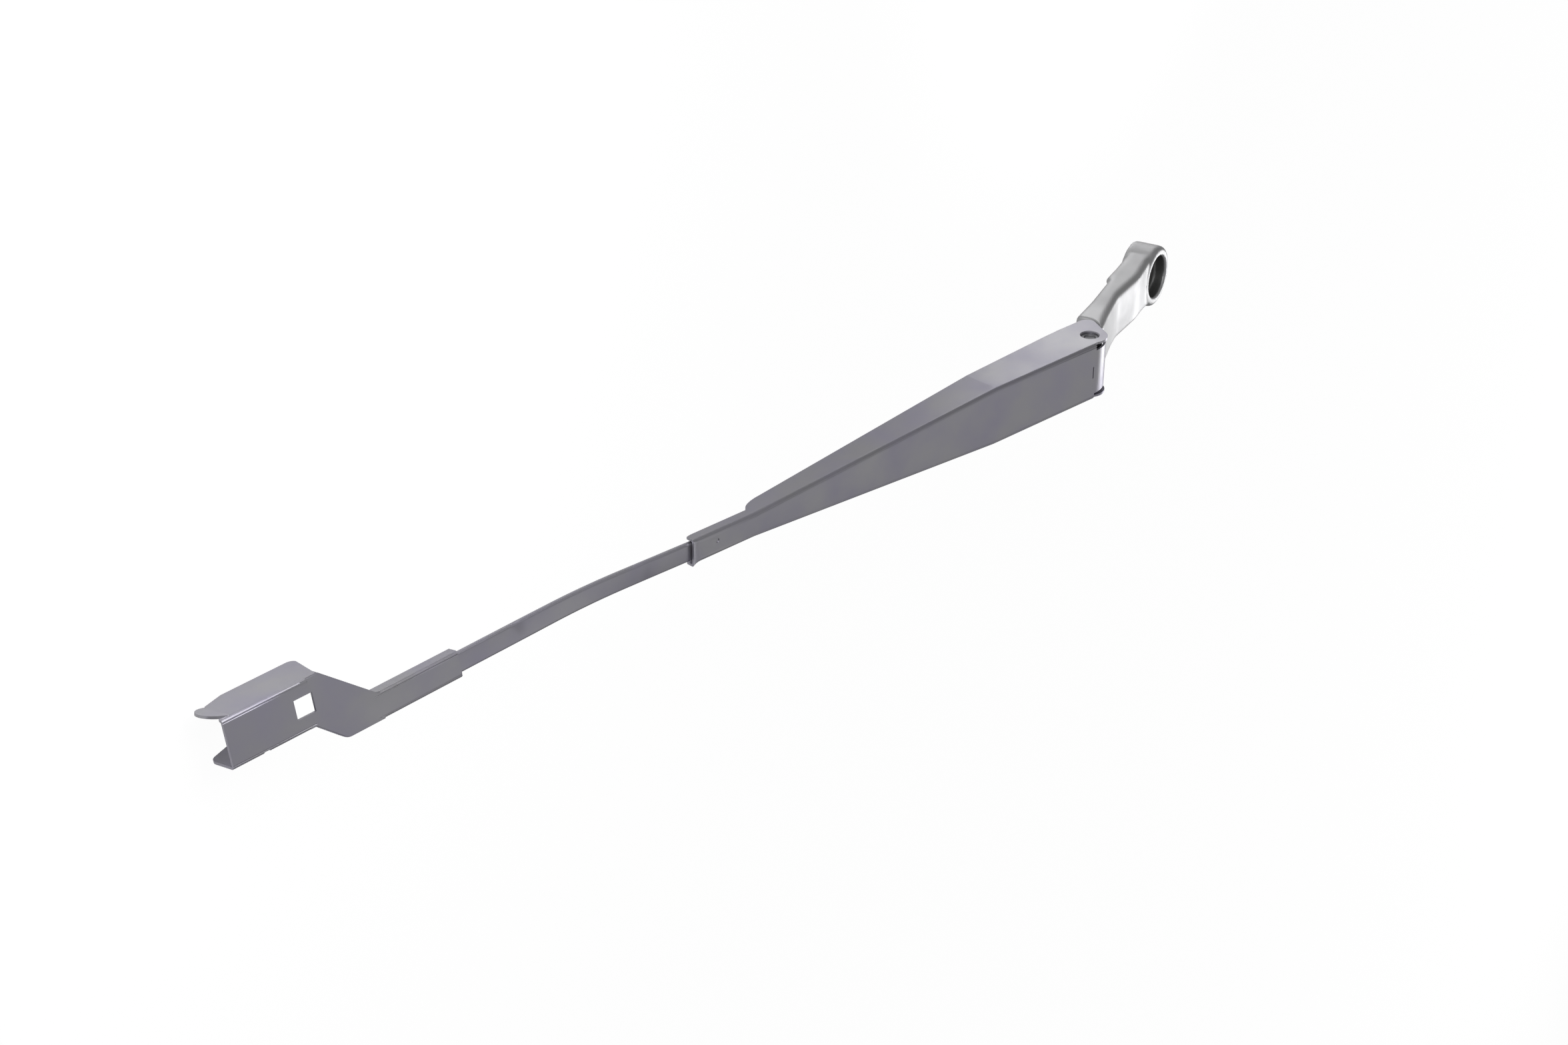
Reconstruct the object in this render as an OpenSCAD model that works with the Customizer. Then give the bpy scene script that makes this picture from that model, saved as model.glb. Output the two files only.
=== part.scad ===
// Windscreen wiper arm with a folding hinge, without its blade.
// Origin on the spindle axis at the seat of the mounting head, +Z out of the car body,
// +X towards the blade. The arm is drawn at its spring-closed stop.

/* [Mounting head] */
// Distance from the spindle axis to the hinge pin
hinge_x = 120; // [105:1:140]
// Height of the hinge pin above the spindle seat
hinge_z = 28; // [26:0.5:32]
// Height of the spindle boss
boss_h = 16.5; // [14:0.5:19]
// Diameter of the spindle boss
boss_d = 34; // [30:0.5:38]
// Radius of the rounded edge round the rim of the boss
rim_r = 2.7; // [1:0.1:3]
// Diameter of the recess for the spindle nut
recess_d = 23.4; // [20:0.2:25]
// Depth of the recess for the spindle nut
recess_depth = 7; // [4:0.5:9]
// Diameter of the bore for the spindle
spindle_d = 9.6; // [8:0.1:12]
// Width of the cranked arm of the head between hinge and boss
crank_w = 27; // [22:0.5:29]
// Thickness of the cranked arm of the head
crank_t = 13; // [11:0.5:14]
// Height of the cranked arm's outer face above the spindle seat
crank_top = 18.5; // [17:0.5:20]
// Distance from the hinge pin to the shoulder behind the ears
shoulder_gap = 19.3; // [18.8:0.1:22]
// Rounding of the long edges of the casting
cast_r = 3.2; // [1.5:0.1:4.5]
// Wall beside the core pockets under the head
pocket_wall = 4; // [3.5:0.5:6]
// Depth of the core pockets under the head
pocket_depth = 5; // [3:0.5:6]

/* [Hinge] */
// Diameter of the hinge pin
pin_d = 9.2; // [7:0.1:9.2]
// Depth of the pin's ends below the faces of the channel
pin_recess = 1.2; // [0.4:0.1:2]
// Wall of the hinge bushes
bush_wall = 0.9; // [0.7:0.1:1.1]
// Thickness of the flange of the hinge bushes
bush_flange = 1; // [0.8:0.1:1.5]
// Depth of the collars that are drawn inwards round the pin holes
collar_depth = 2.4; // [1.5:0.1:3]
// Running clearance round the hinge pin
pin_clear = 0.05; // [0.02:0.01:0.1]
// Side clearance between the bushes and the collars
side_clear = 0.3; // [0.2:0.05:0.6]
// Wall of the head round the hinge bushes
hub_wall = 1.2; // [1:0.1:1.5]
// Angle between the mounting head and the channel at the closed stop
fold = 17; // [10:0.5:20]

/* [Retainer channel] */
// Width of the channel at the hinge
ch_w = 31; // [28:0.2:34]
// Thickness of the channel's sheet
ch_t = 1.2; // [1:0.1:1.4]
// Height of the channel's outer face above the pin
web_h = 10; // [9.5:0.1:11]
// Depth of the flanges at the hinge
ch_depth = 25; // [22:0.5:27]
// Outer radius of the folds
bend_r = 1.6; // [1.5:0.1:2.4]
// Distance from the pin at which the channel starts to narrow
narrow_from = 80; // [60:1:100]
// Distance from the pin at which the flanges start to lose depth
shallow_from = 11; // [8:1:60]
// Depth of the flanges at their far end
end_depth = 10.8; // [9:0.1:13]
// Distance from the pin at which the deep flanges end
flange_end = 243; // [220:1:260]
// Length of the narrow neck that grips the bar
neck_len = 38; // [30:1:50]
// Outward flare of the mouth of the neck
flare = 0.8; // [0.3:0.1:1.2]
// Radius of the round end of the deep flanges
end_r = 13; // [6:0.5:15]
// Radius of the roll-off of the web over the pin
roll_r = 20; // [19:0.5:22]
// Width of the relief notches beside the roll-off
relief_w = 2.2; // [1.6:0.1:3]
// Depth of the groove pressed in along the folds
groove = 0.3; // [0.1:0.05:0.4]

/* [Flat bar] */
// Width of the bar
bar_w = 9.3; // [8:0.1:10]
// Thickness of the bar
bar_t = 3; // [2.5:0.1:4]
// Rounding of the edges of the bar
bar_r = 1.2; // [0.5:0.1:1.3]
// Free length of the bar between the neck and the end clip
bar_free = 134; // [100:1:180]
// Length of the straight bar inside the wide part of the channel
bar_inside = 65; // [50:1:80]
// Length of the bar's inner end that is turned down to the spring
hook_len = 14; // [12:0.5:18]
// Angle by which the bar's inner end is turned down
hook_turn = 30; // [25:1:40]
// Dip of the bar as it leaves the neck
bar_dip = 1.7; // [0:0.1:4]
// Slope of the end clip to the channel
clip_rise = 4.7; // [0:0.1:8]
// Twist of the bar between the neck and the end clip
clip_twist = 12; // [0:0.5:14]

/* [End clip] */
// Thickness of the clip's sheet
clip_t = 1.2; // [0.8:0.1:1.3]
// Length of the sleeve that grips the bar
sleeve_len = 46; // [35:1:60]
// Length of the slanting step, measured along the bar
step_len = 26; // [20:1:40]
// Sideways offset of the blade channel from the bar
clip_offset = 15.5; // [10:0.5:22]
// Outer width of the blade channel
clip_w = 21.7; // [19:0.1:26]
// Length of the blade channel
clip_len = 44; // [38:1:60]
// Depth of the flanges of the blade channel
clip_depth = 21.5; // [18:0.5:23]
// Outer radius of the clip's folds
clip_r = 1.6; // [1.4:0.1:2.4]
// Length of the window in the blade channel
window_l = 9.3; // [6:0.1:12]
// Width of the window in the blade channel
window_w = 8.5; // [6:0.1:11]
// Distance of the window from the start of the blade channel
window_at = 1.5; // [1:0.1:6]
// Depth of the flange along the slanting step
step_depth = 3.4; // [2.4:0.1:5]
// Distance from the start of the blade channel to its shorter flange
low_flange = 5; // [3:0.5:9]
// Length of the round tongue at the end of the long flange
tongue_len = 9.5; // [8:0.5:12]
// Outward turn of the tongue
tongue_turn = 15; // [0:1:20]

/* [Tension spring] */
// Diameter of the spring's wire
wire_d = 2; // [1.6:0.1:2.2]
// Outer diameter of the spring
spring_d = 12; // [10:0.5:12.5]
// Number of turns
turns = 42; // [30:1:46]
// Radius of the loops at the ends of the spring
loop_r = 4; // [3:0.5:4.5]
// Distance of the cross pin under the hinge pin
cross_drop = 11; // [10.5:0.1:11.5]
// Diameter of the cross pin
cross_d = 4.5; // [3.5:0.1:5]
// Length of the link between the cross pin and the spring
link_len = 45; // [35:1:55]
// Thickness of the link
link_t = 3; // [2:0.1:4]

/* [Hidden] */
$fn = 64;

// Clearance of folded sheet over the bar and beside it
grip = 0.1;
side_grip = 0.3;
// Thickness of the lips folded under the bar
lip_t = 1.2;
// Width of the lips folded under the bar
lip_w = 3;
// Overlap that joins the solids of one piece
join = 0.5;

pin_r = pin_d / 2;
bush_r = pin_r + pin_clear + bush_wall;
hub_r = bush_r + hub_wall;
collar_r = pin_r + ch_t;
half_in = ch_w / 2 - ch_t;
tongue_half = half_in - collar_depth - side_clear - bush_flange;
slot_half = link_t / 2 + side_clear;
web_in = web_h - ch_t;

neck_w = bar_w + 2 * (side_grip + ch_t);
neck_depth = ch_t + 2 * grip + bar_t + lip_t;
mouth = flange_end + neck_len;
bar_n = web_in - grip - bar_t / 2;
bar_knee = [flange_end - bar_inside, bar_n];
hook_way = [cos(hook_turn), sin(hook_turn)];
bar_tail = bar_knee - hook_len * hook_way;

// The cross pin lies below the hinge pin, square to the channel but for this lean
cross_lean = 12;
cross_s = cross_drop * sin(cross_lean);
cross_n = -cross_drop * cos(cross_lean);
// The spring's far loop runs round the bar's tail and through a hole in it
loop_inset = 2.2;
hook_s = (bar_tail + loop_inset * hook_way)[0];
hook_n = (bar_tail + loop_inset * hook_way)[1];
spring_slope = atan2(hook_n - cross_n, hook_s - cross_s);
spring_reach = norm([hook_s - cross_s, hook_n - cross_n]);
coil_from = link_len + 2 * loop_r + wire_d / 2;
coil_to = spring_reach - loop_r - wire_d / 2;
coil_r = (spring_d - wire_d) / 2;

// Places along the slanting and the straight parts of the end clip
sleeve_w = bar_w + 2 * (side_grip + clip_t);
sleeve_depth = clip_t + 2 * grip + bar_t + lip_t;
wide_from = sleeve_len + step_len;
wide_to = wide_from + clip_len;
clip_face = bar_t / 2 + grip + clip_t;

// Helpers: steps of a curve, smooth steps, and profiles set along an axis
function clamp01(v) = max(0, min(1, v));
function ease(v) = let (c = clamp01(v)) c * c * (3 - 2 * c);
function mix(a, b, v) = a + (b - a) * clamp01(v);
function arc(c, r, from, to, n = 8) =
    [for (i = [0:n]) let (a = from + (to - from) * i / n) c + r * [cos(a), sin(a)]];
function unit(v) = v / norm(v);

module along_y(width) rotate([90, 0, 0]) linear_extrude(width, center = true) children();
module along_x(len) rotate([90, 0, 90]) linear_extrude(len) children();

// Frame of the channel: x from the pin to the blade, z out of its web
module on_arm() translate([hinge_x, 0, hinge_z]) rotate([0, fold, 0]) children();

// Skin over a row of rings with equal numbers of points. The two end faces are split into
// strips between point i and its partner from the other end of the ring, which suits both
// a convex ring and the ring of a folded sheet.
module loft(rings) {
    n = len(rings[0]);
    far = (len(rings) - 1) * n;
    sides = [for (i = [0:n:far - n], j = [0:n - 1]) let (k = (j + 1) % n)
        each [[i + j, i + n + j, i + n + k], [i + j, i + n + k, i + k]]];
    caps = [for (i = [0:n / 2 - 2]) let (a = i, b = i + 1, c = n - 2 - i, d = n - 1 - i)
        each [[a, b, c], [a, c, d], [far + c, far + b, far + a], [far + d, far + c, far + a]]];
    polyhedron([for (r = rings) each r], concat(sides, caps), convexity = 8);
}

// Retainer channel: half width and depth at a distance from the pin
function ch_half(s) = mix(ch_w / 2, neck_w / 2, (s - narrow_from) / (flange_end - narrow_from));
function ch_deep(s) =
    let (plain = mix(ch_depth, end_depth, (s - shallow_from) / (flange_end - end_r - shallow_from)),
        over = clamp01((s - flange_end + end_r) / end_r))
    neck_depth + (plain - neck_depth) * sqrt(1 - over * over);
function mouth_flare(s) = flare * pow(clamp01((s - mouth + 5) / 5), 2);

// Half of the channel's section: up the flange, round the fold and over the pressed groove
function ch_side(s, half, top, low, r, sink) = concat([[s, half, low]],
    [for (p = arc([half - r, top - r], r, 0, 90, 6)) [s, p[0], p[1]]],
    [for (q = [[0.3, sink], [0.8, 0]]) [s, half - bend_r - q[0], top - q[1]]]);
function mirrored(ring) = [for (i = [len(ring) - 1:-1:0]) [ring[i][0], -ring[i][1], ring[i][2]]];
function reversed(ring) = [for (i = [len(ring) - 1:-1:0]) ring[i]];
function ch_skin(s, half, top, low, r, sink) =
    let (side = ch_side(s, half, top, low, r, sink)) concat(side, mirrored(side));
function ch_ring(s) =
    let (f = mouth_flare(s), half = ch_half(s) + f, top = web_h + f, low = web_h - ch_deep(s) + 2 * f,
        sink = groove * (1.2 - clamp01((s - flange_end) / neck_len)))
    concat(ch_skin(s, half, top, low, bend_r, sink),
        reversed(ch_skin(s, half - ch_t, top - ch_t, low, bend_r - ch_t, 0)));
ch_start = 6;
ch_stations = concat([for (i = [0:21]) mix(ch_start, flange_end - end_r, i / 21)],
    [for (a = [15:15:90]) flange_end - end_r + end_r * sin(a)],
    [for (i = [1:3]) mix(flange_end, mouth - 5, i / 3)],
    [for (i = [1:4]) mouth - 5 + i * 5 / 4]);

// Ear of a flange round the pin, drawn in the plane of the flange
ear_r = hub_r + 2.4;
ear_tip = [-9.9, web_h - ch_depth + 4.6];
module ear_outline() {
    low = web_h - ch_depth;
    polygon(concat([[ch_start + 3, low], [ch_start + 3, web_h - bend_r]],
        arc([0, 0], ear_r, 68, 155), arc(ear_tip, 4.6, 170, 270)));
}

// Strip of the web that rolls off over the pin
module roll_outline() {
    c = [ch_start, web_h - roll_r];
    polygon(concat([[ch_start + 2, web_h]], arc(c, roll_r, 90, 136, 12),
        arc(c, roll_r - ch_t, 136, 90, 12), [[ch_start + 2, web_in]]));
}

module retainer_channel() {
    color("dimgray") on_arm() difference() {
        union() {
            loft([for (s = ch_stations) ch_ring(s)]);
            for (side = [-1, 1]) translate([0, side * (half_in + ch_t / 2), 0]) {
                along_y(ch_t) ear_outline();
                translate([0, side * (-ch_t / 2 - collar_depth / 2), 0]) rotate([90, 0, 0])
                    cylinder(r = collar_r, h = collar_depth + join, center = true);
            }
            along_y(ch_w - 2 * (ch_t + relief_w)) roll_outline();
            for (side = [0, 1]) mirror([0, side, 0])
                translate([flange_end + 3, neck_w / 2 - ch_t - lip_w, web_h - neck_depth])
                    cube([neck_len - 8, lip_w + ch_t / 2, lip_t]);
        }
        rotate([90, 0, 0]) cylinder(r = pin_r, h = ch_w + 2, center = true);
        for (side = [0, 1]) mirror([0, side, 0]) translate([0, ch_w / 2 - 0.5, 0])
            rotate([-90, 0, 0]) cylinder(r1 = pin_r, r2 = pin_r + 0.6, h = 0.6);
        // Stamped line over the pin and punch mark on the neck
        translate([ch_start + 1.6, 0, web_h]) cube([0.8, 6.5, 0.7], center = true);
        translate([mouth - 15, -1, web_h - 0.4]) cylinder(d = 2.2, h = 2);
    }
}

// Flat bar: slope, twist and centre line at a distance from the neck's mouth
bend_from = 38;
bend_to = bar_free - 55;
function bar_slope(d) = d < 0 ? 0 : -bar_dip + (clip_rise + bar_dip) * clamp01((d - bend_from) / (bend_to - bend_from));
function bar_turn(d) = clip_twist * ease((d - 10) / (bar_free - 30));
bar_step = 5;
bar_steps = ceil(bar_free / bar_step);
bar_line = [for (i = 0, p = [mouth, bar_n]; i <= bar_steps;
    p = p + bar_free / bar_steps * [cos(bar_slope((i + 0.5) * bar_free / bar_steps)),
        sin(bar_slope((i + 0.5) * bar_free / bar_steps))], i = i + 1) p];
bar_end = bar_line[bar_steps];

function bar_ring(p, slope, turn) =
    let (w = bar_w / 2 - bar_r, t = bar_t / 2 - bar_r)
    [for (q = [[w, t, 0], [-w, t, 90], [-w, -t, 180], [w, -t, 270]], k = [0:2])
        let (y = q[0] + bar_r * cos(q[2] + 45 * k), z = q[1] + bar_r * sin(q[2] + 45 * k),
            yt = y * cos(turn) - z * sin(turn), zt = y * sin(turn) + z * cos(turn))
        [p[0] - zt * sin(slope), yt, p[1] + zt * cos(slope)]];

module flat_bar() {
    tip = bar_end + (sleeve_len - 1) * [cos(clip_rise), sin(clip_rise)];
    color("dimgray") on_arm() difference() {
        loft(concat([bar_ring(bar_tail, hook_turn, 0), bar_ring(bar_knee - 2 * hook_way, hook_turn, 0),
            bar_ring(bar_knee - [0, 0.27], hook_turn / 2, 0), bar_ring(bar_knee + [2, 0], 0, 0)],
            [for (i = [0:bar_steps]) let (d = i * bar_free / bar_steps)
                bar_ring(bar_line[i], bar_slope(d), bar_turn(d))],
            [bar_ring(tip, clip_rise, clip_twist)]));
        translate([hook_s, 0, hook_n]) rotate([0, -hook_turn, 0])
            translate([loop_r - 0.15, 0, 0]) cylinder(r = wire_d / 2 + 0.55, h = 3 * bar_t, center = true);
    }
}

// Frame of the end clip: x along the bar from the start of the sleeve, z out of its web
module on_clip() on_arm() translate([bar_end[0], 0, bar_end[1]])
    rotate([clip_twist, -clip_rise, 0]) children();

// Half of a folded sheet section: half width, depth, thickness and fold radius
module fold_half(half, deep, t, r) {
    translate([0, -t]) square([half - r, t]);
    translate([half - t, -deep]) square([t, deep - r]);
    intersection() {
        translate([half - r, -r]) difference() {
            circle(r);
            circle(r - t);
        }
        translate([half - r, -r]) square(r);
    }
}
module fold_section(half, deep, t, r) for (side = [0, 1]) mirror([side, 0]) fold_half(half, deep, t, r);

// Corner of an outline, rounded between its two neighbours
function rounded(a, p, b, r) =
    let (u = unit(a - p), v = unit(b - p), turn = acos(u * v) / 2, c = p + r / sin(turn) * unit(u + v))
    [for (i = [0:5]) c + r * unit(p + r / tan(turn) * mix(u, v, i / 5) - c)];

// Outline of the slanting step, seen from outside and drawn in by a distance
step_turn = tan(atan2(clip_offset + (clip_w - sleeve_w) / 2, step_len - 0.5) / 2);
module clip_plan(inset, from, to) {
    move = inset * [step_turn, 1];
    a = [sleeve_len - 2.5, -sleeve_w / 2] + move;
    b = [wide_from - 3, -clip_offset - clip_w / 2] + move;
    c = [wide_from + 2.6, clip_w / 2 - clip_offset] - move;
    d = [sleeve_len + 15.8, sleeve_w / 2] - move;
    polygon(concat([[from, a[1]]], rounded([from, a[1]], a, b, 4), rounded(a, b, [to, b[1]], 2.5),
        [[to, b[1]], [to, c[1]], c], rounded(c, d, [from, d[1]], 6), [[from, d[1]]]));
}

// Side outlines of the long and the short flange of the blade channel, and of the tongue
bulge = 8;
bulge_mid = -0.43 * clip_depth;
tongue_from = wide_to - 5;
flange_from = wide_from - 6.5;
module flange_outline(from, end) {
    r = 3;
    corner = max(from, wide_from - 3);
    polygon(concat([[corner, -clip_r], [corner, -step_depth]],
        arc([from + r, r - clip_depth], r, 180, 270),
        [[wide_to - 15, -clip_depth]], end, [[end[len(end) - 1][0], -clip_r]]));
}
long_end = [[tongue_from, 3.2 - clip_depth]];
short_end = arc([wide_to - 5, bulge_mid - bulge + 5], 5, -75, 0);
module tongue_outline() {
    polygon(concat([[-join, bulge_mid - bulge]], arc([tongue_len - bulge, bulge_mid], bulge, -90, 90, 12),
        [[-join, bulge_mid + bulge]]));
}

// Line pressed in along the foot of a fold of the clip
module fold_line(from, to, y) {
    translate([from, y, 0]) rotate([45, 0, 0]) translate([0, -0.2, -0.2]) cube([to - from, 0.4, 0.4]);
}

module end_clip() {
    y = -clip_offset;
    color("dimgray") on_clip() translate([0, 0, clip_face]) difference() {
        union() {
            // Sleeve with its lips under the bar
            along_x(sleeve_len) fold_section(sleeve_w / 2, sleeve_depth, clip_t, clip_r);
            for (side = [0, 1]) mirror([0, side, 0])
                translate([2, sleeve_w / 2 - clip_t - lip_w, -sleeve_depth])
                    cube([sleeve_len - 4, lip_w + clip_t / 2, lip_t]);
            // Slanting step with shallow flanges along its edges
            translate([0, 0, -clip_t]) linear_extrude(clip_t)
                clip_plan(0.5, sleeve_len - 4, wide_from + 6);
            translate([0, 0, -step_depth]) linear_extrude(step_depth - 0.4) difference() {
                clip_plan(0, sleeve_len - 4, wide_from + 3);
                clip_plan(clip_t, sleeve_len - 8, wide_from + 6);
            }
            // Blade channel
            intersection() {
                translate([flange_from, y, 0]) along_x(clip_len + wide_from - flange_from)
                    fold_section(clip_w / 2, clip_depth, clip_t, clip_r);
                union() {
                    translate([0, y - clip_w / 4, 0]) along_y(clip_w / 2 + 1)
                        flange_outline(flange_from, long_end);
                    translate([0, y + clip_w / 4, 0]) along_y(clip_w / 2 + 1)
                        flange_outline(wide_from + low_flange, short_end);
                    translate([wide_from - 1, y - clip_w / 2 - 1, -clip_r - join])
                        cube([clip_len + 20, clip_w + 2, clip_r + 2 * join]);
                }
            }
            translate([tongue_from, y - clip_w / 2 + clip_t / 2, 0]) rotate([0, 0, -tongue_turn])
                along_y(clip_t) tongue_outline();
        }
        // Relief at the inner corner, window, and notch in the blade channel
        translate([wide_from + 2.6, y + clip_w / 2 + 0.4, -clip_depth]) cylinder(r = 1, h = 2 * clip_depth);
        translate([wide_from + window_at, y - window_w / 2, -2 * clip_t]) cube([window_l, window_w, 4 * clip_t]);
        translate([wide_from + 25.5, y + clip_w / 2 - 0.9, -3]) cube([3.4, 2, 4]);
        for (side = [-1, 1]) {
            fold_line(-1, sleeve_len - 1, side * (sleeve_w / 2 - clip_r));
            fold_line(wide_from + 2.6, wide_to + 1, y + side * (clip_w / 2 - clip_r));
        }
    }
}

// Parts of the hinge, in the frame of the channel or the head
module hinge_pin() {
    half = ch_w / 2 - pin_recess;
    color("silver") on_arm() difference() {
        rotate([90, 0, 0]) cylinder(r = pin_r, h = 2 * half, center = true);
        for (side = [0, 1]) mirror([0, side, 0]) translate([0, half - 0.6, 0])
            rotate([-90, 0, 0]) cylinder(r1 = pin_r - 2, r2 = pin_r - 1.2, h = 1);
    }
}
module hinge_bush(side) {
    inner = slot_half + 1.5;
    color("black") translate([hinge_x, 0, hinge_z]) mirror([0, side, 0]) rotate([-90, 0, 0]) difference() {
        union() {
            translate([0, 0, inner]) cylinder(r = bush_r, h = tongue_half - inner + join);
            translate([0, 0, tongue_half]) cylinder(r = hub_r - 0.3, h = bush_flange);
        }
        cylinder(r = pin_r + pin_clear, h = ch_w);
    }
}
module on_cross() on_arm() translate([cross_s, 0, cross_n]) children();
module spring_pin() {
    color("silver") on_cross() rotate([90, 0, 0])
        cylinder(d = cross_d, h = 2 * (tongue_half - 0.6), center = true);
}
module spring_link() {
    eye = cross_d / 2 + 1.8;
    neck_to = cross_drop + pin_r + 2.5;
    strap = 2.6;
    color("gray") on_cross() rotate([0, -spring_slope, 0]) along_y(link_t) difference() {
        union() {
            circle(eye);
            translate([0, -strap / 2]) square([neck_to + 4, strap]);
            polygon([[neck_to, -strap / 2], [neck_to + 4, -3], [link_len, -3],
                [link_len, 3], [neck_to + 4, 3], [neck_to, strap / 2]]);
            translate([link_len, 0]) circle(3);
        }
        circle(cross_d / 2 + pin_clear);
        translate([link_len, 0]) circle(wire_d / 2 + 0.4);
    }
}

// Spring: a helix that runs over smooth bends into a loop at each end
per_turn = 8;
function hermite(a, ta, b, tb, v) =
    (2 * v * v * v - 3 * v * v + 1) * a + (v * v * v - 2 * v * v + v) * ta
    + (3 * v * v - 2 * v * v * v) * b + (v * v * v - v * v) * tb;
function helix(a) = [coil_from + (coil_to - coil_from) * a / (360 * turns), coil_r * cos(a), coil_r * sin(a)];
function near_loop(a) = [coil_from - wire_d / 2 - loop_r + loop_r * cos(a), loop_r * sin(a), 0];
function far_loop(a) = [spring_reach + loop_r * cos(a), 0, loop_r * sin(a)];
spring_path = concat(
    [for (a = [290:-20:30]) near_loop(-a)],
    [for (v = [0.2:0.2:0.8]) hermite(near_loop(-30), [2, 4, 0], helix(0), [0, 0, 8], v)],
    [for (a = [0:360 / per_turn:360 * turns]) helix(a)],
    [for (v = [0.2:0.2:0.8]) hermite(helix(360 * turns), [0, 0, 8], far_loop(150), [2, 0, 4], v)],
    [for (a = [150:-20:-110]) far_loop(a)]);
function tangent(i) =
    let (n = len(spring_path) - 1) unit(spring_path[min(i + 1, n)] - spring_path[max(i - 1, 0)]);
spring_side = [for (i = 0, u = [0, 0, 1]; i < len(spring_path);
    i = i + 1, u = i < len(spring_path) ? unit(u - (u * tangent(i)) * tangent(i)) : u) u];
module tension_spring() {
    color("gray") on_cross() rotate([0, -spring_slope, 0])
        loft([for (i = [0:len(spring_path) - 1])
            let (t = tangent(i), u = unit(spring_side[i] - (spring_side[i] * t) * t), w = cross(t, u))
            [for (a = [0:60:300]) spring_path[i] + wire_d / 2 * (cos(a) * u + sin(a) * w)]]);
}

// Casting: half width, outer face and glass face at a distance behind the hinge pin
function soft(a, line) = (lookup(a - 3.5, line) + 2 * lookup(a, line) + lookup(a + 3.5, line)) / 4;
glass_face = crank_top - crank_t;
half_line = [[18, ch_w / 2], [46, crank_w / 2], [hinge_x - 25, crank_w / 2], [hinge_x - 8, boss_d / 2 - 2]];
top_line = [[16, hinge_z + 0.8], [32, hinge_z - 3.6], [48, hinge_z - 7.2], [60, crank_top],
    [hinge_x - 32, crank_top], [hinge_x - 12, boss_h - 0.8]];
low_line = [[16, hinge_z - 16], [75, glass_face], [78, glass_face - 2.3], [hinge_x - 12, glass_face - 4.2]];
function cast_half(a) = soft(a, half_line);
function cast_top(a) = soft(a, top_line);
function cast_low(a) = lookup(a, low_line);
function cast_ring(a) =
    let (w = cast_half(a) - cast_r, top = cast_top(a) - cast_r, low = cast_low(a) + cast_r)
    [for (q = [[w, top, 0], [-w, top, 90], [-w, low, 180], [w, low, 270]], k = [0:4])
        [hinge_x - a, q[0] + cast_r * cos(q[2] + 22.5 * k), q[1] + cast_r * sin(q[2] + 22.5 * k)]];

// Side view of the hinge end of the head, relative to the pin: x to the blade, y outwards
module shoulder_cut() {
    polygon([[40, -40], [-shoulder_gap, -40], [-shoulder_gap, -7], [-shoulder_gap + 5.6, 2.3],
        [-shoulder_gap + 8, 20], [40, 20]]);
}
module tongue_shape() {
    lean = cross_lean - fold;
    drop = cross_drop * [sin(lean), -cos(lean)];
    nose_r = 2.4;
    stop = [11, web_in - side_clear - nose_r];
    nose = [stop[0] * cos(fold) + stop[1] * sin(fold), stop[1] * cos(fold) - stop[0] * sin(fold)];
    circle(hub_r);
    translate(drop) circle(cross_d / 2 + 2);
    translate(nose) circle(nose_r);
    polygon([nose + [0.4, nose_r - 0.1], [0, hub_r - 0.2], [-hub_r * cos(45), -hub_r * sin(45)],
        [-9, -8.8], [-shoulder_gap - 6, -8.8], [-shoulder_gap - 6, -14.5], [-shoulder_gap, -15],
        drop - [0, cross_d / 2 + 2], drop + [cross_d / 2 + 1.9, 0.5], nose + [nose_r - 0.2, -1]]);
}
module pocket(from, to) {
    half = crank_w / 2 - pocket_wall;
    r = 3;
    translate([0, 0, -10]) linear_extrude(crank_top - crank_t + pocket_depth + 10) union() {
        translate([from + r, -half]) square([to - from - 2 * r, 2 * half]);
        translate([from, r - half]) square([to - from, 2 * (half - r)]);
        for (x = [from + r, to - r], y = [r - half, half - r]) translate([x, y]) circle(r);
    }
}
module mounting_head() {
    color("darkgray") difference() {
        union() {
            difference() {
                loft([for (a = [hinge_x - 6:-3:12]) cast_ring(a)]);
                translate([hinge_x, 0, hinge_z]) along_y(2 * ch_w) shoulder_cut();
            }
            translate([hinge_x, 0, hinge_z]) along_y(2 * tongue_half) tongue_shape();
            rotate_extrude() union() {
                square([boss_d / 2, boss_h - rim_r]);
                square([boss_d / 2 - rim_r, boss_h]);
                translate([boss_d / 2 - rim_r, boss_h - rim_r]) circle(rim_r);
            }
        }
        translate([0, 0, boss_h - recess_depth]) cylinder(d = recess_d, h = recess_depth + 10);
        translate([0, 0, -1]) cylinder(d = spindle_d, h = boss_h);
        translate([hinge_x, 0, hinge_z]) rotate([90, 0, 0]) cylinder(r = bush_r, h = 2 * ch_w, center = true);
        on_cross() rotate([90, 0, 0]) cylinder(d = cross_d, h = 2 * (tongue_half - 0.6), center = true);
        // Core pockets in the under face, with a rib between them
        pocket(boss_d / 2 + 4, hinge_x / 2 - 13);
        pocket(hinge_x / 2 - 10, hinge_x / 2 + 13);
        // Slot for the link
        translate([hinge_x - hub_r, -slot_half, hinge_z - 2 * cross_drop])
            cube([4 * hub_r, 2 * slot_half, 4 * cross_drop]);
    }
}

mounting_head();
hinge_pin();
hinge_bush(0);  // hinge_bush_left
hinge_bush(1);  // hinge_bush_right
spring_pin();
spring_link();
tension_spring();
retainer_channel();
flat_bar();
end_clip();
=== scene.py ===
"""Looks of a windscreen wiper arm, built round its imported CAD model."""

import math

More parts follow.
